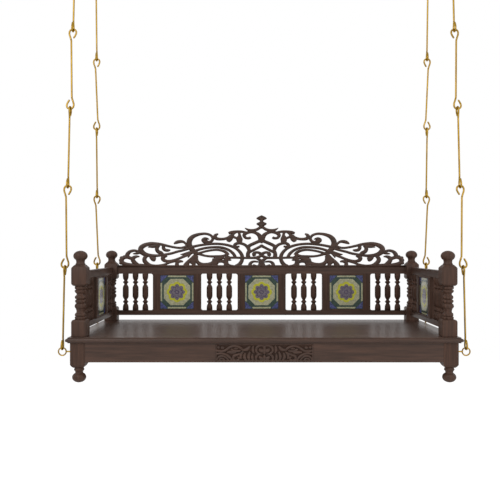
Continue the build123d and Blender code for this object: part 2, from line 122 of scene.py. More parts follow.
# ---------------------------------------------------------------- materials
class Nodes:
    """Short calls that add shader nodes to a node tree."""

    def __init__(self, tree):
        self.tree = tree
        self.shader = tree.nodes.get("Principled BSDF")

    def add(self, kind, **settings):
        node = self.tree.nodes.new(kind)
        for name, value in settings.items():
            setattr(node, name, value)
        return node

    def join(self, source, target):
        self.tree.links.new(source, target)

    def drive(self, source, socket):
        """Joins a value to a socket of the surface shader."""
        self.join(source, self.shader.inputs[socket])

    def set(self, socket, value):
        """Sets a socket of the surface shader to one value all over."""
        self.shader.inputs[socket].default_value = value

    def place(self, scale):
        """Object coordinates stretched by a scale along each axis."""
        coordinates = self.add("ShaderNodeTexCoord")
        mapping = self.add("ShaderNodeMapping")
        mapping.inputs["Scale"].default_value = scale
        self.join(coordinates.outputs["Object"], mapping.inputs["Vector"])
        return mapping.outputs["Vector"]

    def noise(self, where, scale, detail=4.0, roughness=0.55):
        node = self.add("ShaderNodeTexNoise")
        node.inputs["Scale"].default_value = scale
        node.inputs["Detail"].default_value = detail
        node.inputs["Roughness"].default_value = roughness
        self.join(where, node.inputs["Vector"])
        return node.outputs["Fac"]

    def ramp(self, factor, stops):
        node = self.add("ShaderNodeValToRGB")
        ramp = node.color_ramp
        while len(ramp.elements) < len(stops):
            ramp.elements.new(0.5)
        for element, (place, colour) in zip(ramp.elements, stops):
            element.position = place
            element.color = (*colour, 1.0)
        self.join(factor, node.inputs["Fac"])
        return node.outputs["Color"]

    def spread(self, factor, low, high):
        """A factor from 0 to 1 made into a value from low to high."""
        node = self.add("ShaderNodeMapRange")
        node.inputs["To Min"].default_value = low
        node.inputs["To Max"].default_value = high
        self.join(factor, node.inputs["Value"])
        return node.outputs["Result"]

    def bump(self, height, strength, distance):
        node = self.add("ShaderNodeBump")
        node.inputs["Strength"].default_value = strength
        node.inputs["Distance"].default_value = distance
        self.join(height, node.inputs["Height"])
        self.drive(node.outputs["Normal"], "Normal")

    def seen_directly(self):
        """1 for camera, glossy and transmission rays, 0 for the light that falls on things."""
        rays = self.add("ShaderNodeLightPath")
        seen = rays.outputs["Is Camera Ray"]
        for name in ("Is Glossy Ray", "Is Transmission Ray"):
            either = self.add("ShaderNodeMath", operation="MAXIMUM")
            self.join(seen, either.inputs[0])
            self.join(rays.outputs[name], either.inputs[1])
            seen = either.outputs[0]
        return seen


def new_material(name):
    material = bpy.data.materials.new(name)
    material.use_nodes = True
    return material, Nodes(material.node_tree)


def wood_material(name, grain, gloss=1.0, shade=1.0):
    """Dark stained wood with satin varnish; the grain runs along one axis."""
    tones = (0.034, 0.018, 0.012), (0.059, 0.030, 0.020), (0.090, 0.045, 0.030)
    # Shade scales every tone down; the wood of the carving ground uses it for painted shade.
    dark, middle, light = [tuple(value * shade for value in tone) for tone in tones]
    stretch = [42.0, 42.0, 42.0]
    stretch["xyz".index(grain)] = 2.6
    material, n = new_material(name)
    along_grain = n.place(stretch)
    fibre = n.noise(along_grain, 3.0, detail=8.0, roughness=0.62)
    figure = n.noise(along_grain, 0.35, detail=2.0)
    fibre_share = 0.7
    blend = n.add("ShaderNodeMath", operation="MULTIPLY_ADD")
    n.join(fibre, blend.inputs[0])
    blend.inputs[1].default_value = fibre_share
    n.join(n.spread(figure, 0.0, 1 - fibre_share), blend.inputs[2])
    n.drive(n.ramp(blend.outputs[0], [(0.35, dark), (0.52, middle), (0.70, light)]), "Base Color")
    n.drive(n.spread(fibre, 0.32 / gloss, 0.48 / gloss), "Roughness")
    n.set("Specular IOR Level", 0.26 * gloss)
    n.set("Coat Weight", 0.06 * gloss)
    n.set("Coat Roughness", 0.22)
    n.bump(fibre, 0.25, 0.0006)
    return material


def brass_material():
    """Polished brass rod, a little duller in patches."""
    material, n = new_material("brass")
    where = n.place((1.0, 1.0, 0.25))
    patches = n.noise(where, 90.0)
    colour = n.ramp(patches, [(0.30, (0.27, 0.158, 0.022)), (0.65, (0.38, 0.240, 0.045))])
    n.drive(colour, "Base Color")
    n.set("Metallic", 1.0)
    n.set("Specular Tint", (0.55, 0.42, 0.20, 1.0))
    n.drive(n.spread(patches, 0.20, 0.38), "Roughness")
    n.bump(n.noise(where, 900.0), 0.10, 0.0002)
    return material


def glaze_material(name, first, second):
    """Hand-painted glaze: two shades of one colour in a fine mottle under a clear coat."""
    material, n = new_material(name)
    where = n.place((1.0, 1.0, 1.0))
    mottle = n.noise(where, 180.0, detail=5.0, roughness=0.7)
    n.drive(n.ramp(mottle, [(0.40, first), (0.60, second)]), "Base Color")
    n.set("Roughness", 0.16)
    n.set("Specular IOR Level", 0.30)
    n.set("Coat Weight", 0.10)
    n.set("Coat Roughness", 0.06)
    n.bump(n.noise(where, 60.0), 0.12, 0.0004)
    return material


def floor_material():
    """Pale matt floor with a glow that only what looks at it sees, so it is white there."""
    material, n = new_material("floor")
    n.set("Base Color", (0.80, 0.80, 0.80, 1.0))
    n.set("Roughness", 0.9)
    n.set("Specular IOR Level", 0.0)
    n.set("Emission Color", (1.0, 1.0, 1.0, 1.0))
    glow = n.add("ShaderNodeMath", operation="MULTIPLY")
    n.join(n.seen_directly(), glow.inputs[0])
    glow.inputs[1].default_value = 0.45
    n.drive(glow.outputs[0], "Emission Strength")
    return material


# Upright wood is duller than the boards, and the turned balusters are duller still.
wood = {
    "x": wood_material("wood_x", "x"),
    "y": wood_material("wood_y", "y"),
    "z": wood_material("wood_z", "z", gloss=0.7),
}
turned_wood = wood_material("wood_turned", "z", gloss=0.6)
# Painted shade: wood darkened to stand in for the shade that falls in the recessed carving ground.
recess_painted_shade_wood = wood_material("wood_recess_painted_shade", "x", gloss=0.5, shade=0.55)
brass = brass_material()
glaze = {
    "cream": glaze_material("glaze_cream", (0.26, 0.255, 0.15), (0.42, 0.41, 0.26)),
    "green": glaze_material("glaze_green", (0.010, 0.028, 0.020), (0.030, 0.060, 0.042)),
    "blue": glaze_material("glaze_blue", (0.018, 0.022, 0.085), (0.075, 0.085, 0.24)),
    "yellow": glaze_material("glaze_yellow", (0.36, 0.35, 0.010), (0.50, 0.48, 0.03)),
    "mauve": glaze_material("glaze_mauve", (0.08, 0.065, 0.085), (0.17, 0.14, 0.17)),
    "plum": glaze_material("glaze_plum", (0.040, 0.026, 0.060), (0.08, 0.055, 0.10)),
}


# ---------------------------------------------------------------- mesh helpers
class Build:
    """Vertices and faces of one piece, gathered from several closed parts."""

    def __init__(self):
        self.vertices = []
        self.faces = []

    def add(self, vertices, faces):
        """Adds a closed part, with its faces turned outwards."""
        points = [Vector(v) for v in vertices]
        middle = sum(points, Vector()) / len(points)
        volume = 0.0
        for face in faces:
            corner = points[face[0]] - middle
            for i, j in zip(face[1:-1], face[2:]):
                volume += corner.dot((points[i] - middle).cross(points[j] - middle))
        first = len(self.vertices)
        self.vertices += points
        for face in faces:
            outward = face if volume > 0 else tuple(reversed(face))
            self.faces.append(tuple(first + i for i in outward))

    def piece(self, name, material, body, slot, smooth=True, replaces=()):
        """Makes the mesh object, which rides on a CAD body and may replace CAD nodes."""
        mesh = bpy.data.meshes.new(name)
        mesh.from_pydata([tuple(v) for v in self.vertices], [], self.faces)
        mesh.materials.append(material)
        mesh.update()
        made = bpy.data.objects.new(name, mesh)
        bpy.context.scene.collection.objects.link(made)
        if smooth:
            mesh.shade_smooth()
        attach(made, body)
        if replaces:
            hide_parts(*replaces)
        return made

    def wooden(self, name, material, smooth=True, replaces=()):
        """Makes a piece of the woodwork, which all rides on the seat."""
        return self.piece(name, material, "seat", "walnut", smooth, replaces)


def soften(piece, width, segments=2):
    """Rounds sharp edges by a width in millimetres and keeps flat faces flat."""
    bevel = piece.modifiers.new("rounded edges", "BEVEL")
    bevel.width = width * MM
    bevel.segments = segments
    bevel.limit_method = "ANGLE"
    bevel.angle_limit = math.radians(32)
    bevel.harden_normals = True
    piece.data.shade_smooth()


def skin(around, levels):
    """Faces of a closed skin over levels of vertices, with the same number round each."""
    faces = []
    for level in range(levels - 1):
        for step in range(around):
            a = level * around + step
            b = level * around + (step + 1) % around
            faces.append((a, b, b + around, a + around))
    faces.append(tuple(reversed(range(around))))
    faces.append(tuple(range((levels - 1) * around, levels * around)))
    return faces


def turning(build, outline, segments, place, share=lambda angle, height: 1.0):
    """A round form from (height, radius) pairs; place makes a point of (height, two offsets).

    Share says how much of the radius is left at an angle and a height, for carved grooves.
    """
    vertices = []
    for height, radius in outline:
        for number in range(segments):
            angle = math.tau * number / segments
            reach = radius * share(angle, height)
            vertices.append(place(height, reach * math.cos(angle), reach * math.sin(angle)))
    build.add(vertices, skin(segments, len(outline)))


def lathe(build, outline, x, y, segments=48, share=lambda angle, height: 1.0):
    """A turning about an upright axis, with heights above the feet."""
    turning(build, outline, segments, lambda h, u, v: (x + u, y + v, foot_level + h), share)


def rounded(points, steps):
    """A Catmull-Rom curve through points of any size, with steps between each pair."""
    smooth = []
    last = len(points) - 1
    for number in range(last):
        before = points[max(number - 1, 0)]
        a, b = points[number], points[number + 1]
        after = points[min(number + 2, last)]
        for step in range(steps):
            t = step / steps
            smooth.append(
                tuple(
                    0.5 * (2 * q + (r - p) * t + (2 * p - 5 * q + 4 * r - s) * t**2
                           + (3 * q - p - 3 * r + s) * t**3)
                    for p, q, r, s in zip(before, a, b, after)
                )
            )
    smooth.append(tuple(points[last]))
    return smooth


def tube(build, path, radius, around=14):
    """Round wire along a list of points, with domed ends."""
    path = [Vector(p) for p in path]
    first = (path[1] - path[0]).normalized()
    last = (path[-1] - path[-2]).normalized()
    dome = [(0.0, 0.35), (0.55, 0.8)]
    stations = [(path[0] - first * radius * (1 - d), s) for d, s in dome]
    stations += [(p, 1.0) for p in path]
    stations += [(path[-1] + last * radius * (1 - d), s) for d, s in reversed(dome)]
    side = first.orthogonal().normalized()
    vertices = []
    for number, (point, share) in enumerate(stations):
        before = stations[max(number - 1, 0)][0]
        after = stations[min(number + 1, len(stations) - 1)][0]
        ahead = (after - before).normalized()
        side = (side - ahead * side.dot(ahead)).normalized()
        other = ahead.cross(side)
        for step in range(around):
            angle = math.tau * step / around
            reach = side * math.cos(angle) + other * math.sin(angle)
            vertices.append(point + reach * radius * share)
    build.add(vertices, skin(around, len(stations)))


def wire_ring(build, centre, radius, wire, steps=48, around=14):
    """A closed ring of round wire that faces the front."""
    vertices = []
    faces = []
    for number in range(steps):
        angle = math.tau * number / steps
        out = X_AXIS * math.cos(angle) + Z_AXIS * math.sin(angle)
        for step in range(around):
            turn = math.tau * step / around
            vertices.append(
                centre + out * (radius + wire * math.cos(turn)) - Y_AXIS * wire * math.sin(turn)
            )
            here, there = number * around, (number + 1) % steps * around
            after = (step + 1) % around
            faces.append((here + step, here + after, there + after, there + step))
    build.add(vertices, faces)


def prism(build, outline, low, high, place):
    """A flat outline pushed from one depth to another; place turns (u, v, depth) into a point."""
    vertices = [place(u, v, low) for u, v in outline] + [place(u, v, high) for u, v in outline]
    build.add(vertices, skin(len(outline), 2))


def rectangle(u_low, u_high, v_low, v_high):
    return [(u_low, v_low), (u_high, v_low), (u_high, v_high), (u_low, v_high)]


def sweep(build, points, steps, section, half_width, place):
    """A section of (across, depth) pairs swept along a smooth line of (along, up, width) points.

    Half_width makes the reach of the section of a width; place makes a point of (u, v, depth).
    """
    line = rounded(points, steps)
    vertices = []
    for number, (u, v, width) in enumerate(line):
        before = line[max(number - 1, 0)]
        after = line[min(number + 1, len(line) - 1)]
        du, dv = after[0] - before[0], after[1] - before[1]
        length = math.hypot(du, dv)
        for across, depth in section:
            reach = across * half_width(width)
            vertices.append(place(u - dv / length * reach, v + du / length * reach, depth))
    build.add(vertices, skin(len(section), len(line)))


# ---------------------------------------------------------------- nodes that keep their CAD shape
def coat(name, material):
    """Gives a CAD node one material."""
    node = nodes[name]
    node.data.materials.clear()
    node.data.materials.append(material)
    return node


def dress_nodes():
    """Rails, aprons, battens, tile frames, roses and nuts, with slightly rounded edges."""
    grain = {
        "x": ["apron_front", "apron_back", "back_top_rail", "back_bottom_rail"],
        "y": ["apron_left", "apron_right", "seat_battens"]
        + ["side_" + level + "_rail_" + side for level in ("top", "bottom") for side in SIDES],
        "z": ["back_tile_frames"] + ["side_tile_frame_" + side for side in SIDES],
    }
    for axis, names in grain.items():
        for name in names:
            soften(coat(name, wood[axis]), 1.2)
    soften(coat("ceiling_roses", brass), 1.2)
    soften(coat("eye_bolt_nuts", brass), 0.4)


# ---------------------------------------------------------------- seat board
def make_seat():
    """Seat board with a half-round nosing between two small fillets, all round."""
    low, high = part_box("seat_board")
    middle_z = (low.z + high.z) / 2
    fillet_height = 4.0 * MM
    setback = 8.0 * MM
    ease = 0.6 * MM
    nose = (high.z - low.z) / 2 - fillet_height
    # Down the edge, as (inset, height)
    upper = [
        (setback, high.z), (setback - ease, high.z - ease),
        (setback - ease, high.z - fillet_height), (nose, high.z - fillet_height),
    ]
    half_round = []
    for degrees in range(75, -76, -15):
        angle = math.radians(degrees)
        half_round.append((nose - nose * math.cos(angle), middle_z + nose * math.sin(angle)))
    lower = [(inset, 2 * middle_z - z) for inset, z in reversed(upper)]
    vertices = []
    for inset, z in upper + half_round + lower:
        for sx, sy in SQUARE:
            vertices.append((sx * (high.x - inset), sy * (high.y - inset), z))
    build = Build()
    build.add(vertices, skin(4, len(vertices) // 4))
    soften(build.wooden("seat_board_moulded", wood["x"], replaces=["seat_board"]), 0.4)


# ---------------------------------------------------------------- turnings
# Height and radius of the carved waist of a post: rings with grooves between them, a neck,
# two rings over a bulge, another neck and two more rings
WAIST = [
    (239, 21.0), (243, 22.0), (247, 22.6), (250.5, 21.6), (252, 17.6), (253.5, 21.0), (258, 21.8),
    (262, 20.8), (264.5, 17.8), (268, 15.6), (272, 15.4), (276, 15.9), (279, 17.6), (280.5, 16.4),
    (283, 19.8), (287, 21.9), (291, 22.5), (295, 21.6), (299, 19.6), (301, 17.0), (302.2, 15.8),
    (303.6, 18.6), (307, 21.1), (311, 21.6), (314, 20.4), (315.6, 17.4), (317, 16.0), (318.6, 18.8),
    (322, 21.3), (326, 21.5), (329, 20.2), (332, 16.6), (335, 15.2), (339, 15.3), (341.5, 18.2),
    (344, 21.0), (348, 22.1), (352, 21.4), (354, 16.8), (356, 21.2), (360, 22.3), (364, 22.2),
    (367, 21.4), (368.5, 18.0), (370, 21.0), (373, 21.0),
]
# Half of a baluster, as distance from its end and radius: straight end, bead between two
# necks, and the barrel belly
HALF_BALUSTER = [
    (0, 13.8), (12, 13.6), (20, 12.8), (25, 11.2), (29, 9.0), (32, 7.2), (34, 7.8),
    (36, 10.2), (38, 12.6), (41, 12.6), (43, 10.8), (45.5, 8.2), (48, 6.8), (50, 6.8),
    (53, 8.4), (57, 11.0), (62, 13.2), (68, 13.9), (84, 13.9),
]


def ball(low, high, radius, first=-58, last=90):
    """Outline of a ball between two heights, from its neck to the tiny flat at its crown."""
    middle = (low + high) / 2
    steps, crown = 14, 0.05
    outline = []
    for number in range(steps + 1):
        turn = math.radians(first + (last - first) * number / steps)
        reach = max(radius * math.cos(turn), crown)
        outline.append((middle + (high - low) / 2 * math.sin(turn), reach))
    return outline


def metres(outline):
    return [(height * MM, radius * MM) for height, radius in outline]


def square_block(build, x, y, outline):
    """A square block whose half width follows (height, half width) pairs above the feet."""
    vertices = []
    for height, half in metres(outline):
        for sx, sy in SQUARE:
            vertices.append((x + sx * half, y + sy * half, foot_level + height))
    build.add(vertices, skin(4, len(outline)))


def make_leg(corner):
    """Square block, chamfered shoulder, turned neck and ball foot."""
    middle = middle_of("leg_" + corner)
    block = Build()
    square_block(block, middle.x, middle.y, [(58, 18.5), (63, 24), (70, 28.5), (153.5, 28.5)])
    soften(block.wooden("leg_block_" + corner, wood["z"], replaces=["leg_" + corner]), 1.6, 3)
    foot = Build()
    foot_height = 40
    ball_down = [(foot_height - height, radius) for height, radius in ball(0, foot_height, 26.5)]
    neck = [(41, 15.5), (44, 15.5), (46, 18.5), (50, 19.5), (53, 18.5), (55, 17.5), (59, 17.5)]
    lathe(foot, metres(ball_down[::-1] + neck), middle.x, middle.y)
    foot.wooden("leg_foot_" + corner, wood["z"])


def twisted_lobes(angle, height):
    """Share of the radius left by shallow grooves that wind round a waist."""
    lobes, depth, twist = 9, 0.12, 95.0
    return 1 - depth * abs(math.sin((lobes * angle + twist * height) / 2))


def make_post(corner):
    """Two square blocks with a ringed waist between them, then a neck and a ball finial."""
    middle = middle_of("post_" + corner)
    blocks = Build()
    square_block(blocks, middle.x, middle.y, [(175, 29), (232, 29), (237, 27.5), (240, 24)])
    shoulder = [(436, 29), (439, 27.4), (442.5, 24.4), (446, 21), (449.5, 17.4)]
    square_block(blocks, middle.x, middle.y, [(368.5, 22), (371.5, 25.5), (376, 29)] + shoulder)
    soften(blocks.wooden("post_blocks_" + corner, wood["z"], replaces=["post_" + corner]), 2.0, 3)
    waist = Build()
    lathe(waist, metres(rounded(WAIST, 2)), middle.x, middle.y, 72, twisted_lobes)
    waist.wooden("post_waist_" + corner, wood["z"])
    finial = Build()
    neck = [(448, 19), (452, 18.6), (455, 16.4), (459, 15.8)]
    lathe(finial, metres(neck + ball(462, 502.5, 27.0, -50)), middle.x, middle.y)
    finial.wooden("post_finial_" + corner, wood["z"])


# ---------------------------------------------------------------- baluster bays
bay_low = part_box("back_bottom_rail")[1].z
bay_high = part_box("back_top_rail")[0].z
back_y = middle_of("back_tile_frames").y


def back_bays():
    """Start and end along X of the two bays right of the middle tile."""
    tile_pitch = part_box("back_tile_right")[0].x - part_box("back_tile_centre")[0].x
    frame_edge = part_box("back_tile_frames")[1].x
    frame_half = frame_edge - tile_pitch
    rail_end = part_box("back_top_rail")[1].x
    return [(frame_half, tile_pitch - frame_half), (frame_edge, rail_end)]


def side_bays(side):
    """Start and end along Y of the bays before and behind a side tile."""
    low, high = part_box("side_top_rail_" + side)
    frame_low, frame_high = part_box("side_tile_frame_" + side)
    return [(low.y, frame_low.y), (frame_high.y, high.y)]


def make_balusters():
    """Turned balusters in threes, one group in each bay."""
    half = metres(HALF_BALUSTER)
    outline = [(bay_low - foot_level + height, radius) for height, radius in half]
    outline += [(bay_high - foot_level - height, radius) for height, radius in reversed(half)]
    segments = 28

    def places(bays):
        for start, end in bays:
            for step in (-1, 0, 1):
                yield (start + end) / 2 + step * BALUSTER_PITCH * MM

    for side, along in SIDES.items():
        back = Build()
        for x in places(back_bays()):
            lathe(back, outline, along * x, back_y, segments)
        name = "back_balusters_" + side
        back.wooden(name + "_turned", turned_wood, replaces=[name])
        flank = Build()
        for y in places(side_bays(side)):
            lathe(flank, outline, middle_of("side_top_rail_" + side).x, y, segments)
        name = "side_balusters_" + side
        flank.wooden(name + "_turned", turned_wood, replaces=[name])


def make_bay_corners():
    """Small concave fillets in the corners of every baluster bay."""
    radius = 9.0 * MM
    arc = [math.radians(angle) for angle in range(0, 91, 15)]
    rail_low, rail_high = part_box("back_top_rail")
    half_rail = (rail_high.y - rail_low.y) / 2

    def add_corners(build, bays, place):
        for start, end in bays:
            for edge, along in ((start, 1), (end, -1)):
                for height, up in ((bay_low, 1), (bay_high, -1)):
                    outline = [(edge, height)]
                    for turn in arc:
                        inward = along * radius * (1 - math.sin(turn))
                        upward = up * radius * (1 - math.cos(turn))
                        outline.append((edge + inward, height + upward))
                    prism(build, outline, -half_rail, half_rail, place)

    back = Build()
    for along in SIDES.values():
        add_corners(back, back_bays(), lambda u, v, depth: (along * u, back_y - along * depth, v))
    back.wooden("back_bay_corners", wood["x"], smooth=False)
    for side in SIDES:
        x = middle_of("side_top_rail_" + side).x
        flank = Build()
        add_corners(flank, side_bays(side), lambda u, v, depth: (x + depth, u, v))
        flank.wooden("side_bay_corners_" + side, wood["y"], smooth=False)


# ---------------------------------------------------------------- crest fretwork
# Right half of the scrollwork, in millimetres from the middle of the top rail: each
# stroke is a list of (along, up, width), and the left half mirrors it.
CREST_STROKES = [
    # curved arms under the finial
    [(-3, 193, 15), (9, 185, 13), (20, 178, 13), (34, 174, 12), (50, 173, 12), (64, 176, 10),
     (78, 184, 3)],
    # heart: scroll rolled inwards at the top, its solid middle, lower limb and the band below
    [(-3, 127, 28), (5, 139, 24), (14, 152, 18), (28, 161, 14), (45, 165, 12), (62, 163, 13),
     (75, 158, 15), (82, 150, 16), (77, 140, 13), (68, 136, 11), (57, 137, 12), (51, 141, 10)],
    [(0, 150, 14), (0, 140, 24), (0, 131, 32), (0, 123, 26), (0, 112, 6)],
    [(-3, 128, 20), (14, 121, 15), (54, 103, 15), (61, 95, 16), (60, 87, 16), (59, 77, 16),
     (63, 66, 18), (64, 56, 19), (62, 47, 20)],
    [(-6, 97, 12), (0, 100, 14), (12, 94, 12), (45, 77, 12), (58, 71, 13)],
    # pair of small scrolls, the tie that runs out to the arcs and the foot scroll
    [(-4, 56, 22), (6, 64, 15), (16, 69, 12), (29, 69, 12), (38, 64, 12), (37, 57, 12), (28, 57, 6)],
    [(36, 65, 9), (33, 60, 15), (26, 57, 6)],
    [(-4, 57, 12), (12, 49, 13), (24, 45, 13), (40, 44, 11), (90, 44, 10), (120, 45, 10),
     (158, 45, 10)],
    [(26, 46, 12), (15, 38, 13), (4, 30, 16), (-2, 20, 22), (-2, 6, 34)],
    [(13, 24, 4), (22, 26, 8), (34, 27, 9), (45, 24, 12), (53, 16, 16), (55, 2, 20)],
    [(10, 3, 14), (24, 4, 12), (35, 7, 13), (40, 13, 8)],
    # branch from the side of the heart up to the leaf
    [(60, 82, 15), (68, 96, 14), (80, 106, 13), (98, 112, 12), (114, 112, 13), (126, 105, 14),
     (123, 97, 13), (113, 96, 10), (103, 98, 8)],
    # leaf cluster and the spray that links it with the large scroll
    [(66, 160, 12), (88, 166, 11), (108, 167, 12), (130, 166, 12), (144, 163, 13), (155, 159, 11)],
    [(106, 164, 13), (103, 151, 13), (104, 137, 28), (103, 124, 28), (99, 112, 17)],
    [(118, 166, 10), (131, 157, 11), (139, 147, 20), (148, 136, 27), (154, 126, 23), (157, 119, 12)],
    [(112, 134, 10), (124, 139, 11), (136, 144, 12)],
    [(140, 144, 20), (154, 139, 14), (175, 133, 12), (197, 132, 13), (212, 135, 16),
     (218, 143, 18), (214, 151, 14), (203, 157, 5)],
    # large C scroll and the leaf on its shoulder
    [(245, 131, 3), (256, 134, 10), (267, 134, 13), (275, 127, 15), (267, 119, 15), (252, 116, 15),
     (238, 120, 13), (229, 131, 13), (232, 143, 12), (243, 152, 11), (262, 157, 11), (284, 156, 12),
     (305, 151, 15), (324, 142, 19), (337, 126, 24), (339, 109, 24), (332, 91, 24), (319, 78, 20),
     (305, 70, 17)],
    [(275, 128, 10), (266, 126, 13), (258, 125, 9), (252, 123, 5)],
    [(352, 88, 12), (352, 102, 10), (358, 113, 10), (370, 120, 12), (386, 120, 15), (400, 116, 14),
     (411, 110, 5)],
    # three nested arcs over the lens
    [(122, 4, 16), (108, 10, 18), (97, 22, 18), (91, 36, 17), (91, 52, 17), (100, 70, 15),
     (118, 87, 13), (143, 99, 12), (176, 107, 11), (214, 110, 11), (251, 108, 11), (289, 103, 11),
     (322, 96, 12), (342, 89, 14)],
    [(123, 48, 14), (133, 64, 14), (154, 81, 12), (187, 92, 12), (219, 94, 11), (257, 91, 11),
     (289, 84, 11), (314, 75, 13)],
    [(158, 56, 18), (167, 70, 14), (190, 79, 11), (216, 81.5, 10), (249, 77.5, 10), (276, 71, 10),
     (300, 63, 13)],
    [(158, 62, 13), (181, 53, 11), (214, 51, 11), (246, 51.5, 10), (273, 56, 10), (300, 65, 13)],
    [(322, 70, 12), (306, 66, 16), (292, 62, 12), (278, 59, 8)],
    # solid ground below the lens round its half-moon opening, with a small leaf
    [(158, 56, 18), (164, 42, 22), (167, 25, 22), (164, 8, 24)],
    [(176, 47, 16), (196, 43, 22), (210, 38, 28), (216, 26, 32), (226, 10, 34)],
    [(206, 28, 18), (190, 28, 13), (176, 27, 16)],
    [(160, 40, 13), (150, 35, 11), (141, 33, 3)],
    [(304, 54, 14), (305, 36, 15), (296, 20, 17), (278, 12, 18), (260, 11, 19), (242, 14, 19),
     (228, 23, 16), (222, 40, 16)],
    [(168, 22, 12), (152, 9, 12), (132, 5, 10)],
    # foot of the C scroll and the leaf under it
    [(308, 64, 16), (307, 50, 15), (306, 36, 18), (301, 22, 14)],
    [(311, 58, 14), (316, 44, 24), (320, 26, 34), (318, 14, 18), (318, 1, 17)],
    [(311, 59, 11), (329, 40, 13), (345, 23, 18), (353, 9, 26), (355, 0.5, 27)],
    [(316, 75, 16), (359, 62, 12), (380, 60, 3)],
    [(336, 62, 13), (341, 54, 11), (344, 44, 3)],
    # long teardrop with the leaves inside it
    [(340, 89, 14), (370, 79, 11), (395, 73, 11), (422, 65, 11), (449, 60, 11), (476, 56, 12),
     (498, 54, 13), (527, 56, 16), (548, 62, 20), (562, 73, 24), (567, 86, 20)],
    [(350, 98, 12), (370, 92, 10), (390, 91, 10), (417, 95, 10), (444, 101, 11), (476, 108, 13),
     (514, 111, 15), (540, 106, 18), (557, 98, 21), (567, 88, 21), (569, 75, 17)],
    [(478, 104, 18), (506, 99, 17), (520, 97, 12), (532, 94, 3)],
    [(458, 104, 15), (460, 90, 15), (452, 81, 14), (438, 79, 12), (428, 81, 5)],
    [(486, 103, 17), (491, 85, 17), (484, 73, 17), (471, 67, 16), (464, 58, 16)],
    # lower loop with its drop, the short prop and its leaf
    [(322, 72, 15), (343, 60, 13), (368, 49, 12), (390, 40, 11), (411, 33, 11), (436, 29, 11),
     (454, 31, 15), (463, 40, 18), (458, 50, 18), (444, 56, 14)],
    [(393, 38, 12), (396, 22, 16), (397, 5, 19)],
    [(368, 26, 6), (380, 28, 12), (395, 24, 13)],
    [(402, 30, 11), (433, 22, 11), (457, 12, 11), (490, 6, 13), (519, 8, 15), (538, 18, 18),
     (549, 32, 19), (547, 44, 17), (538, 54, 15)],
    [(522, 54, 12), (516, 46, 18), (508, 40, 23), (500, 38, 22), (496, 37, 12)],
    # end scrolls and the scalloped leaf against the post
    [(573, 50, 5), (587, 50, 12), (600, 44, 17), (603, 33, 19), (593, 19, 20), (580, 6, 23)],
    [(569, 70, 14), (584, 76, 11), (600, 78, 12), (617, 73, 14), (627, 63, 18), (630, 52, 18),
     (620, 45, 14), (608, 43, 13)],
    [(570, 70, 14), (586, 65, 11), (602, 63, 4)],
    [(608, 40, 14), (630, 46, 13), (647, 44, 17), (655, 36, 20), (655, 24, 19), (641, 16, 17),
     (620, 11, 17), (598, 8, 18), (570, 7, 20), (542, 6, 16)],
]
# Lobes of the leaf against the post, as (along, up, radius)
LEAF_LOBES = [(644, 50, 7), (657, 44, 8), (661, 33, 8), (660, 20, 8)]
# Right half of the outline of the finial, as (along, up)
FINIAL_OUTLINE = [
    (0, 244), (8, 240.5), (17, 236), (23.3, 231.5), (24.5, 229), (23.3, 226.5), (17, 223),
    (10.5, 220), (7.8, 217), (7.8, 214.5), (12, 211.5), (20, 208.3), (24.2, 204.5), (24.2, 201.8),
    (20, 198), (13, 194), (10, 191), (9, 186), (0, 180),
]


def add_lobe(build, x, y, z, radius, half_depth):
    """A rounded lobe of a leaf, domed to the front and to the back."""
    dome = [(0.02, 1.0), (0.5, 0.97), (0.8, 0.82), (0.97, 0.5), (1.0, 0.0)]
    front = [(-depth * half_depth, share * radius) for share, depth in dome]
    back = [(-depth, reach) for depth, reach in reversed(front[:-1])]
    turning(build, front + back, 20, lambda depth, u, v: (x + u, y + depth, z + v))


def make_crest():
    """The pierced scroll board on the back top rail, mirrored about its middle."""
    low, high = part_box("crest_board")
    middle_y = (low.y + high.y) / 2
    half_depth = (high.y - low.y) / 2
    lobe_depth, flat_depth = 0.96 * half_depth, 0.98 * half_depth
    front_half = [
        (-1.0, -0.55), (-0.86, -0.82), (-0.55, -0.97), (0.0, -1.0),
        (0.55, -0.97), (0.86, -0.82), (1.0, -0.55),
    ]
    section = front_half + [(-across, -depth) for across, depth in front_half]
    # Strokes are a little wider than their line and end just above the rail.
    extra_width, lowest = 0.5, 0.3
    build = Build()
    for number, points in enumerate(CREST_STROKES):
        # A slightly different depth keeps the faces of strokes that cross out of one plane.
        depth_share = 1 - 0.004 * (number % 5)
        on_middle_line = all(u == 0 for u, v, width in points)
        for side in (1,) if on_middle_line else (-1, 1):
            sweep(
                build, points, 6, section, lambda width: width / 2 + extra_width,
                lambda u, v, depth: (
                    side * u * MM,
                    middle_y + depth * half_depth * depth_share,
                    rail_top + max(v, lowest) * MM,
                ),
            )
    for u, v, radius in LEAF_LOBES:
        for side in (-1, 1):
            centre = (side * u * MM, middle_y, rail_top + v * MM)
            add_lobe(build, *centre, radius * MM, lobe_depth)

    def add_flat(outline):
        prism(
            build, outline, -flat_depth, flat_depth,
            lambda u, v, depth: (u * MM, middle_y + depth, rail_top + v * MM),
        )

    add_flat(FINIAL_OUTLINE + [(-u, v) for u, v in reversed(FINIAL_OUTLINE[1:-1])])
    base_half, base_low, base_high = high.x / MM, 0.2, 10
    add_flat(rectangle(-base_half, base_half, base_low, base_high))
    build.wooden("crest_carved", wood["x"], replaces=["crest_board"])


# ---------------------------------------------------------------- tiles
def cut_square(half, cut):
    """A square with its corners cut off."""
    return [
        (half - cut, -half), (half, -half + cut), (half, half - cut), (half - cut, half),
        (-half + cut, half), (-half, half - cut), (-half, -half + cut), (-half + cut, -half),
    ]


def regular(count, radius):
    """Corners of a regular outline."""
    angles = [math.tau * number / count for number in range(count)]
    return [(radius * math.cos(angle), radius * math.sin(angle)) for angle in angles]


def lobed(count, radius, depth):
    """A round outline with shallow round lobes, one of them on each axis."""
    outline = []
    steps = count * 12
    for number in range(steps):
        angle = math.tau * number / steps
        reach = radius - depth + 2 * depth * abs(math.cos(count * angle / 2))
        outline.append((reach * math.cos(angle), reach * math.sin(angle)))
    return outline


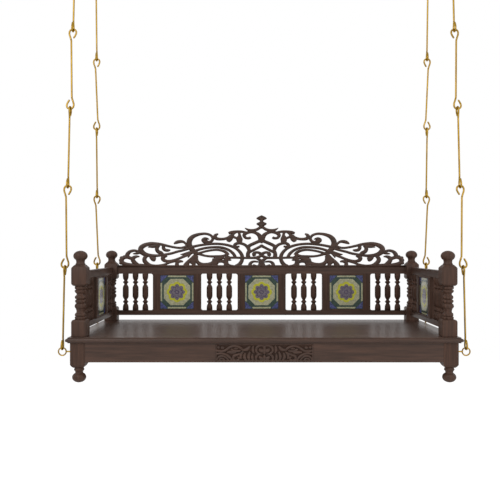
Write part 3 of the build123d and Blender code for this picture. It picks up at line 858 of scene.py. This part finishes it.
def make_tile(name, place, lift=0.0):
    """A glazed tile: a flower in a ring, in a cut square, with a bordered edge."""
    low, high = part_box(name)
    unit = max(high.x - low.x, high.y - low.y) / 2
    coat(name, glaze["green"])
    glaze_step, sunk = 0.25 * MM, 0.5 * MM
    layers = {}

    def paint(colour, outline, level):
        """Glaze over an outline whose unit is half a tile; higher levels lie over lower ones."""
        layer = layers.setdefault(colour, Build())
        scaled = [(u * unit, v * unit) for u, v in outline]
        prism(layer, scaled, lift - sunk, lift + glaze_step * level, place)

    if lift:
        paint("green", SQUARE, 0.5)
    edge, cut = 0.985, 0.56
    for su, sv in SQUARE:
        paint("blue", [(su * edge, sv * edge), (su * edge, sv * cut), (su * cut, sv * edge)], 1)
    bar = [(-cut, 0.895), (cut, 0.895), (0.53, edge), (-0.53, edge)]
    for cosine, sine in ((1, 0), (0, 1), (-1, 0), (0, -1)):
        turned = [(u * cosine - v * sine, u * sine + v * cosine) for u, v in bar]
        paint("cream", turned, 1)
    paint("cream", cut_square(0.79, 0.41), 1)
    paint("yellow", lobed(8, 0.58, 0.04), 2)
    paint("mauve", lobed(8, 0.425, 0.055), 3)
    paint("plum", lobed(8, 0.31, 0.04), 3.5)
    paint("mauve", lobed(8, 0.27, 0.04), 4)
    paint("plum", regular(32, 0.13), 4.5)
    paint("mauve", regular(24, 0.08), 5)
    for colour, layer in layers.items():
        layer.piece(name + "_" + colour, glaze[colour], "seat", "glazed_tile", smooth=False)


def make_tiles():
    """Three tiles that face the front and one on each side that faces the seat."""
    for where in ("left", "centre", "right"):
        name = "back_tile_" + where
        middle, front = middle_of(name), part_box(name)[0].y
        make_tile(name, lambda u, v, depth: (middle.x + u, front - depth, middle.z + v))
    for side, along in SIDES.items():
        name = "side_tile_" + side
        middle, face = middle_of(name), inner_face(name, along)
        make_tile(
            name,
            lambda u, v, depth: (face - along * depth, middle.y - along * u, middle.z + v),
            lift=SIDE_TILE_LIFT * MM,
        )


def make_side_frames():
    """The wooden frame round each side tile stands proud of the rails, towards the seat."""
    for side, along in SIDES.items():
        low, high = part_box("side_tile_frame_" + side)
        tile_low, tile_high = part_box("side_tile_" + side)
        face = inner_face("side_tile_frame_" + side, along)
        half_frame = (high.y - low.y) / 2
        half_tile = (tile_high.y - tile_low.y) / 2
        build = Build()
        for outline in (
            rectangle(-half_frame, -half_tile, low.z, high.z),
            rectangle(half_tile, half_frame, low.z, high.z),
            rectangle(-half_tile, half_tile, low.z, tile_low.z),
            rectangle(-half_tile, half_tile, tile_high.z, high.z),
        ):
            prism(
                build, outline, -0.5 * MM, SIDE_FRAME_LIFT * MM,
                lambda u, v, depth: (face - along * depth, -along * u, v),
            )
        soften(build.wooden("side_tile_surround_" + side, wood["z"], smooth=False), 1.2)


# ---------------------------------------------------------------- apron carving
# Strokes of (along, up, width) in millimetres from the middle of the panel
CARVING_BORDER = [
    [(-182, -30.5, 3), (0, -30.5, 3), (182, -30.5, 3)],
    [(-182, 30.5, 3), (0, 30.5, 3), (182, 30.5, 3)],
    [(0, 28, 4), (0, 12, 8), (0, -6, 5)],
    [(0, -8, 4), (0, -20, 8), (0, -30, 4)],
]
# Right half, which the left half mirrors
CARVING_HALF = [
    [(182, -30, 3), (182, 0, 3), (182, 30, 3)],
    # paired petals of the flower, in their ring
    [(5, 2, 3), (12, 8, 10), (20, 16, 3)],
    [(5, -28, 3), (12, -22, 10), (20, -14, 3)],
    [(2, 25, 4), (16, 27, 5), (29, 19, 6), (31, 6, 5), (22, -3, 5), (6, -7, 4)],
    [(6, -7, 4), (24, -8, 5), (32, -18, 6), (30, -29, 5)],
    # upright leaves beside the flower
    [(41, 27, 4), (44, 14, 7), (41, -2, 4)],
    [(44, -4, 4), (46, -17, 7), (43, -29, 5)],
    [(54, 4, 4), (60, -14, 8), (57, -29, 5)],
    [(54, 25, 4), (66, 13, 8), (84, 10, 4)],
    [(68, -29, 4), (76, -16, 8), (72, 0, 4)],
    # long S curve over an eye, and the curl below it
    [(82, 12, 5), (96, 22, 6), (114, 26, 6), (132, 20, 6), (150, 8, 6), (168, 6, 6), (181, 9, 5)],
    [(90, 8, 4), (102, 6, 6), (116, 8, 6), (126, 15, 4)],
    [(100, 15, 3), (107, 16, 6), (116, 16, 3)],
    [(108, 0, 4), (124, 2, 8), (142, 2, 4)],
    [(78, 4, 3), (86, -2, 6), (90, -12, 7), (88, -24, 4)],
    [(90, -2, 4), (104, -8, 6), (116, -13, 6), (118, -24, 6), (108, -29, 5), (98, -26, 5),
     (96, -18, 4), (103, -16, 3)],
    # arch with a fan below it, and two buds in the corner
    [(122, -29, 4), (134, -15, 6), (148, -6, 6), (165, -2, 6), (181, -5, 5)],
    [(135, -29, 4), (146, -17, 5), (160, -12, 6), (174, -17, 5), (180, -28, 4)],
    [(150, -29, 4), (157, -22, 5), (167, -23, 5), (171, -29, 4)],
    [(152, 18, 4), (158, 19, 8), (164, 19, 4)],
    [(169, 20, 4), (174, 20, 7), (178, 20, 4)],
]


def make_carving():
    """Low relief of a flower between scrolls, in a raised border on a ground darkened with painted
    shade.
    """
    low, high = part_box("apron_carving")
    middle_z = (low.z + high.z) / 2
    relief = high.y - low.y
    margin, ground_rise = 0.5 * MM, 0.2 * MM
    half_length = high.x - margin
    half_height = high.z - middle_z - margin
    ground = Build()
    prism(
        ground, rectangle(-half_length, half_length, -half_height, half_height), 0.0, ground_rise,
        lambda u, v, depth: (u, high.y - depth, middle_z + v),
    )
    # The ground is coloured with painted shade, so it is darker than the relief over it.
    ground.wooden("apron_carving_ground", recess_painted_shade_wood, smooth=False)
    section = [(-1.0, 0.0), (-0.8, 0.7), (-0.35, 1.0), (0.35, 1.0), (0.8, 0.7), (1.0, 0.0)]
    fullness = 0.8
    build = Build()
    for strokes, sides in ((CARVING_BORDER, (1,)), (CARVING_HALF, (-1, 1))):
        for points in strokes:
            for side in sides:
                sweep(
                    build, points, 5, section, lambda width: fullness * width,
                    lambda u, v, rise: (side * u * MM, high.y - rise * relief, middle_z + v * MM),
                )
    build.wooden("apron_carving_relief", wood["x"], replaces=["apron_carving"])


# ---------------------------------------------------------------- brass
# Lower hook of a link, from its tip round to the rod: (along, up) from the point that bears
HOOK = [
    (-5.5, 29.5), (-9.6, 22.5), (-13.0, 15.0), (-14.0, 8.5), (-12.4, 2.2), (-8.2, -1.8),
    (-2.6, -3.5), (3.2, -3.2), (8.6, -0.4), (12.2, 5.2), (13.2, 12.0), (12.0, 19.5),
    (8.8, 28.5), (6.0, 38.0), (4.4, 50.0),
]


def eye_middle(corner):
    """Middle of the ring of an eye bolt, before the lift of the back ones."""
    low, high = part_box("eye_bolts")
    along, back = CORNERS[corner]
    reach = (EYE_WIRE_RADIUS + EYE_RADIUS) * MM
    return Vector((along * (high.x - reach), middle_of("leg_" + corner).y, low.z + reach))


def make_eye_bolts():
    """Thin brass eye bolts through the outer faces of the legs."""
    collar = metres([(0, 6.0), (1.2, 6.0), (2.2, 4.4)])
    build = Build()
    for corner, (along, back) in CORNERS.items():
        centre = eye_middle(corner)
        if back > 0:
            centre.z += BACK_EYE_LIFT * MM
        wire_ring(build, centre, EYE_RADIUS * MM, EYE_WIRE_RADIUS * MM)
        start = centre - along * EYE_RADIUS * MM * X_AXIS
        end = centre.copy()
        end.x = inner_face("leg_" + corner, along) - along * EYE_SHANK_END * MM
        tube(build, [start, (start + end) / 2, end], EYE_SHANK_RADIUS * MM)
        face = outer_face("leg_" + corner, along)
        turning(
            build, collar, 24,
            lambda out, u, v: (face + along * out, centre.y + u, centre.z + v),
        )
    build.piece("eye_bolts_round", brass, "seat", "brass", replaces=["eye_bolts"])


def make_ceiling_eyes():
    """Thick brass eyes hanging from threaded studs."""
    low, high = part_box("ceiling_eyes")
    wire, radius = CEILING_WIRE_RADIUS * MM, CEILING_EYE_RADIUS * MM
    build = Build()
    for corner in CORNERS:
        head = hanger_head(corner)
        centre = Vector((head.x, head.y, low.z + wire + radius))
        wire_ring(build, centre, radius, wire)
        heights = (centre.z + radius, 0.0, high.z - STUD_RADIUS * MM)
        tube(build, [(head.x, head.y, z) for z in heights], STUD_RADIUS * MM, 20)
    build.piece("ceiling_eyes_round", brass, "ceiling", "brass", replaces=["ceiling_eyes"])


def make_links():
    """Five hooked rods in each hanger, each link turned a quarter from the next."""
    upper_hook = [(-u, LINK_INSIDE - w) for u, w in reversed(HOOK)]
    curve = rounded(HOOK + [(0.0, LINK_INSIDE / 2)] + upper_hook, 5)
    for corner, (along, back) in CORNERS.items():
        foot = eye_middle(corner) + EYE_RADIUS * MM * Z_AXIS
        up = (hanger_head(corner) - foot).normalized()
        for number in range(LINKS_PER_HANGER):
            start = number * (LINK_INSIDE - LINK_SLACK) - EYE_WIRE_RADIUS - LINK_SLACK
            across = -along * X_AXIS if number % 2 else Y_AXIS
            side = up.cross(across.cross(up)).normalized()
            build = Build()
            points = [foot + up * (start + w) * MM + side * u * MM for u, w in curve]
            tube(build, points, LINK_WIRE_RADIUS * MM)
            name = "link_" + corner + "_" + str(number + 1)
            build.piece(name + "_rod", brass, "hanger_" + corner, "brass", replaces=[name])


# ---------------------------------------------------------------- stage and light
def make_stage():
    """Pale floor below the swing, which hangs well clear of it."""
    half_size, clearance = 6.0, 0.95
    mesh = bpy.data.meshes.new("floor")
    z = foot_level - clearance
    mesh.from_pydata([(sx * half_size, sy * half_size, z) for sx, sy in SQUARE], [], [(0, 1, 2, 3)])
    mesh.materials.append(floor_material())
    floor = bpy.data.objects.new("floor", mesh)
    bpy.context.scene.collection.objects.link(floor)


def make_world():
    """White to the camera and in reflections, a soft sky for everything else."""
    world = bpy.data.worlds.new("studio")
    world.use_nodes = True
    bpy.context.scene.world = world
    n = Nodes(world.node_tree)
    sky = n.tree.nodes["Background"]
    white = n.add("ShaderNodeBackground")
    for background, strength in ((sky, 0.75), (white, 1.0)):
        background.inputs["Color"].default_value = (1.0, 1.0, 1.0, 1.0)
        background.inputs["Strength"].default_value = strength
    mix = n.add("ShaderNodeMixShader")
    n.join(n.seen_directly(), mix.inputs["Fac"])
    n.join(sky.outputs["Background"], mix.inputs[1])
    n.join(white.outputs["Background"], mix.inputs[2])
    n.join(mix.outputs["Shader"], n.tree.nodes["World Output"].inputs["Surface"])


def make_lamp(name, x, y, height, size, power):
    """Square lamp at a height above the feet, turned to the middle of the bench."""
    data = bpy.data.lights.new(name, "AREA")
    data.shape = "SQUARE"
    data.size = size
    data.energy = power
    lamp = bpy.data.objects.new(name, data)
    lamp.location = (x, y, foot_level + height)
    aim = Vector((0, 0, foot_level + 0.3)) - lamp.location
    lamp.rotation_euler = aim.to_track_quat("-Z", "Y").to_euler()
    bpy.context.scene.collection.objects.link(lamp)


make_camera()
dress_nodes()
make_seat()
for corner_name in CORNERS:
    make_leg(corner_name)
    make_post(corner_name)
make_balusters()
make_bay_corners()
make_crest()
make_tiles()
make_side_frames()
make_carving()
make_eye_bolts()
make_ceiling_eyes()
make_links()
make_stage()
make_world()
make_lamp("key", -1.6, -2.6, 2.2, size=1.6, power=38)
make_lamp("fill", 2.2, -2.2, 1.0, size=1.8, power=18)

bpy.context.scene.view_settings.view_transform = "Standard"
